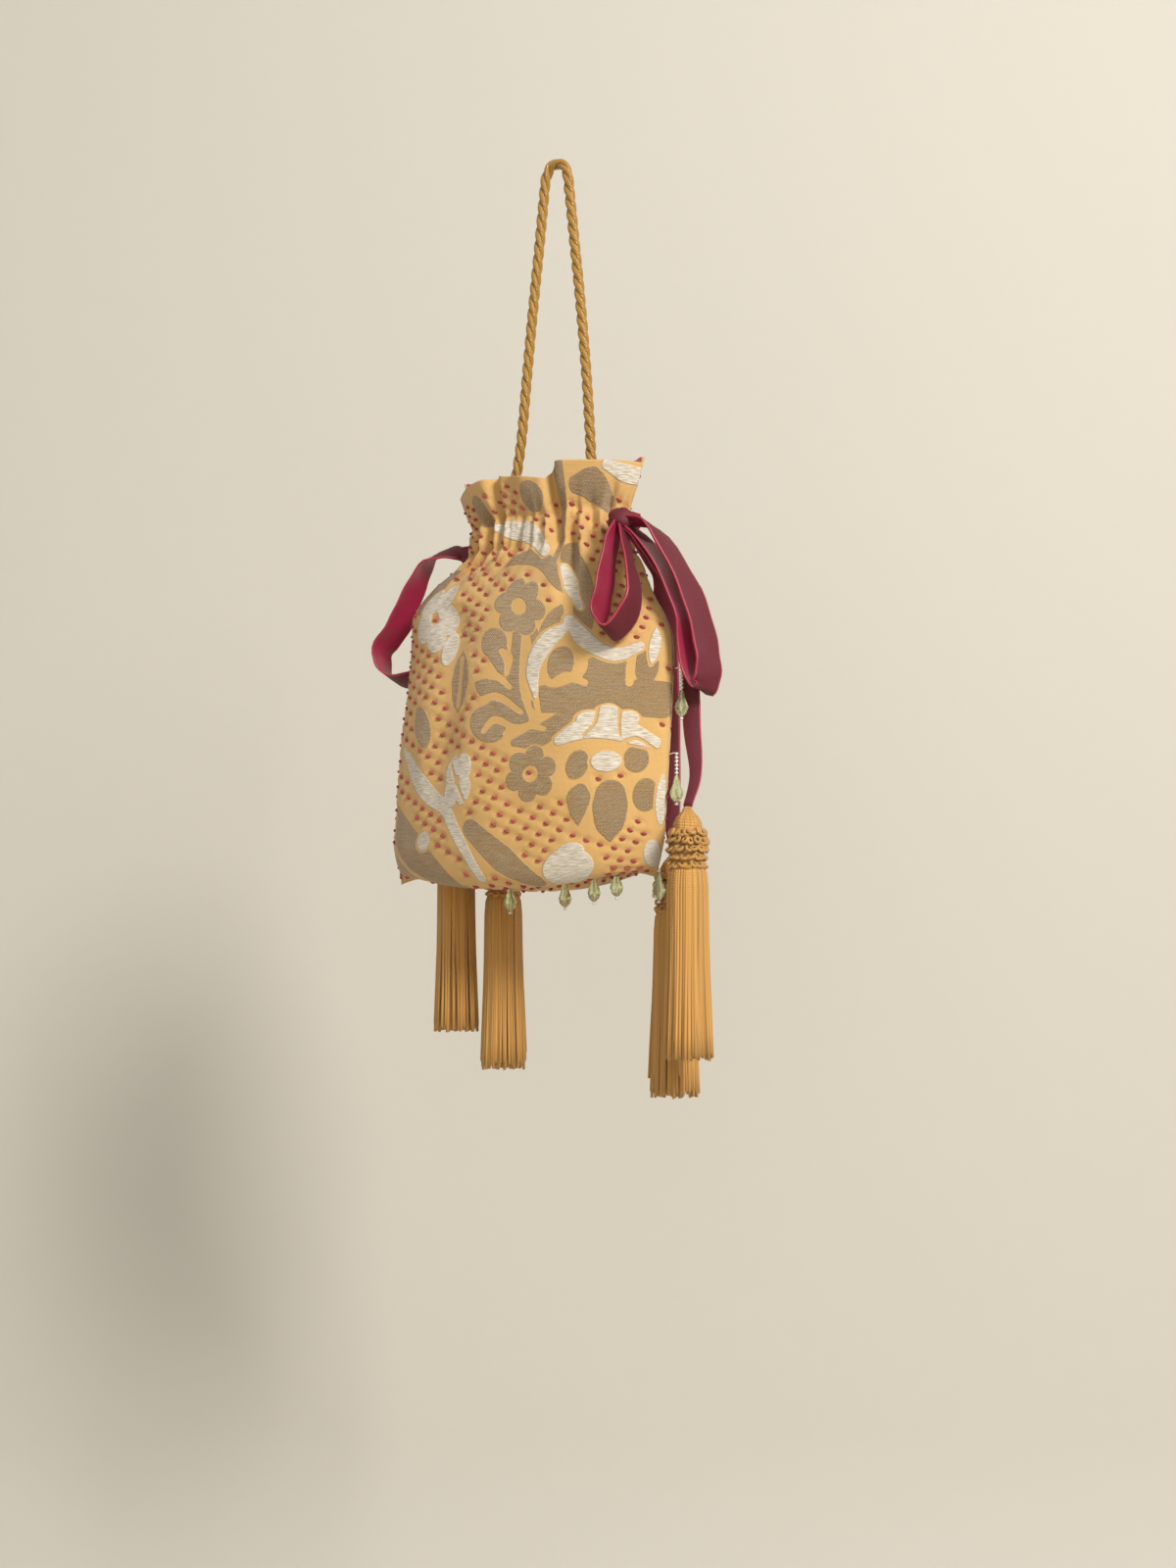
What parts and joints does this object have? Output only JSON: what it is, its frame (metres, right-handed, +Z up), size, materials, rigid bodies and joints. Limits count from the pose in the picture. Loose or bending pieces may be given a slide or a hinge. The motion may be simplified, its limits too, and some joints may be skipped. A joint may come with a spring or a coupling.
{
  "type": "potli bag",
  "caption": "Drawstring pouch of quilted brocade with a ruffled mouth, twisted rope handle, velvet ribbon bows, tassels and beaded drops.",
  "frame": {"origin": "the inside of the handle's bend, where a hook or a finger carries the bag", "axes": "+Z up along the hanging line, X from the left side seam to the right one, the front panel faces -Y"},
  "size_m": [0.2019, 0.0899, 0.4754],
  "materials": {
    "brocade": "satin ground with metallic motifs, quilted",
    "lining": "plain satin",
    "rope": "satin twisted rope",
    "velvet": "velvet with a satin back",
    "tassel": "rayon thread",
    "seed_beads": "silver-lined clear glass",
    "crystal": "faceted, pale olive"
  },
  "bodies": {
    "pouch": {"front_brocade_panel": "brocade", "back_brocade_panel": "brocade", "front_lining_panel": "lining", "back_lining_panel": "lining", "handle_rope": "rope", "right_drawstring_ribbon": "velvet", "left_drawstring_ribbon": "velvet"},
    "right_front_tassel": {"right_front_tassel_threads": "tassel", "right_front_tassel_ruff": "tassel"},
    "right_rear_tassel": {"right_rear_tassel_threads": "tassel", "right_rear_tassel_ruff": "tassel"},
    "left_outer_tassel": {"left_outer_tassel_threads": "tassel", "left_outer_tassel_ruff": "tassel"},
    "left_inner_tassel": {"left_inner_tassel_threads": "tassel", "left_inner_tassel_ruff": "tassel"},
    "side_upper_drop": {"side_upper_seed_string": "seed_beads", "side_upper_crystal_drop": "crystal"},
    "side_lower_drop": {"side_lower_seed_string": "seed_beads", "side_lower_crystal_drop": "crystal"},
    "bottom_left_drop": {"bottom_left_seed_string": "seed_beads", "bottom_left_crystal_drop": "crystal"},
    "bottom_middle_drop": {"bottom_middle_seed_string": "seed_beads", "bottom_middle_crystal_drop": "crystal"},
    "bottom_right_drop": {"bottom_right_seed_string": "seed_beads", "bottom_right_crystal_drop": "crystal"},
    "bottom_end_drop": {"bottom_end_seed_string": "seed_beads", "bottom_end_crystal_drop": "crystal"},
    "corner_drop": {"corner_seed_string": "seed_beads", "corner_crystal_drop": "crystal"}
  },
  "joints": [
    {"name": "right_front_tassel_swing", "type": "hinge", "parent": "pouch", "child": "right_front_tassel", "pos_m": [0.078, -0.006, -0.329], "axis": [-0.3102, -0.9507, 0], "range_deg": [0, 50]},
    {"name": "right_rear_tassel_swing", "type": "hinge", "parent": "pouch", "child": "right_rear_tassel", "pos_m": [0.056, 0.022, -0.349], "axis": [0.9536, -0.3011, 0], "range_deg": [0, 50]},
    {"name": "left_outer_tassel_swing", "type": "hinge", "parent": "pouch", "child": "left_outer_tassel", "pos_m": [-0.083, 0.032, -0.318], "axis": [0.8, 0.6, 0], "range_deg": [0, 50]},
    {"name": "left_inner_tassel_swing", "type": "hinge", "parent": "pouch", "child": "left_inner_tassel", "pos_m": [-0.057, 0.039, -0.338], "axis": [1, 0, 0], "range_deg": [0, 50]},
    {"name": "side_upper_drop_swing", "type": "hinge", "parent": "pouch", "child": "side_upper_drop", "pos_m": [0.0675, 0, -0.26], "axis": [-1, 0, 0], "range_deg": [-5, 40]},
    {"name": "side_lower_drop_swing", "type": "hinge", "parent": "pouch", "child": "side_lower_drop", "pos_m": [0.0648, 0, -0.302], "axis": [-1, 0, 0], "range_deg": [-5, 40]},
    {"name": "bottom_left_drop_swing", "type": "hinge", "parent": "pouch", "child": "bottom_left_drop", "pos_m": [-0.028, 0, -0.3511], "axis": [0, 1, 0], "range_deg": [-25, 25]},
    {"name": "bottom_middle_drop_swing", "type": "hinge", "parent": "pouch", "child": "bottom_middle_drop", "pos_m": [0.005, 0, -0.3516], "axis": [0, 1, 0], "range_deg": [-15, 25]},
    {"name": "bottom_right_drop_swing", "type": "hinge", "parent": "pouch", "child": "bottom_right_drop", "pos_m": [0.022, 0, -0.3529], "axis": [0, 1, 0], "range_deg": [-12, 15]},
    {"name": "bottom_end_drop_swing", "type": "hinge", "parent": "pouch", "child": "bottom_end_drop", "pos_m": [0.035, 0, -0.3544], "axis": [0, 1, 0], "range_deg": [-25, 12]},
    {"name": "corner_drop_swing", "type": "hinge", "parent": "pouch", "child": "corner_drop", "pos_m": [0.059, 0, -0.3582], "axis": [0, 1, 0], "range_deg": [-12, 25]}
  ]
}
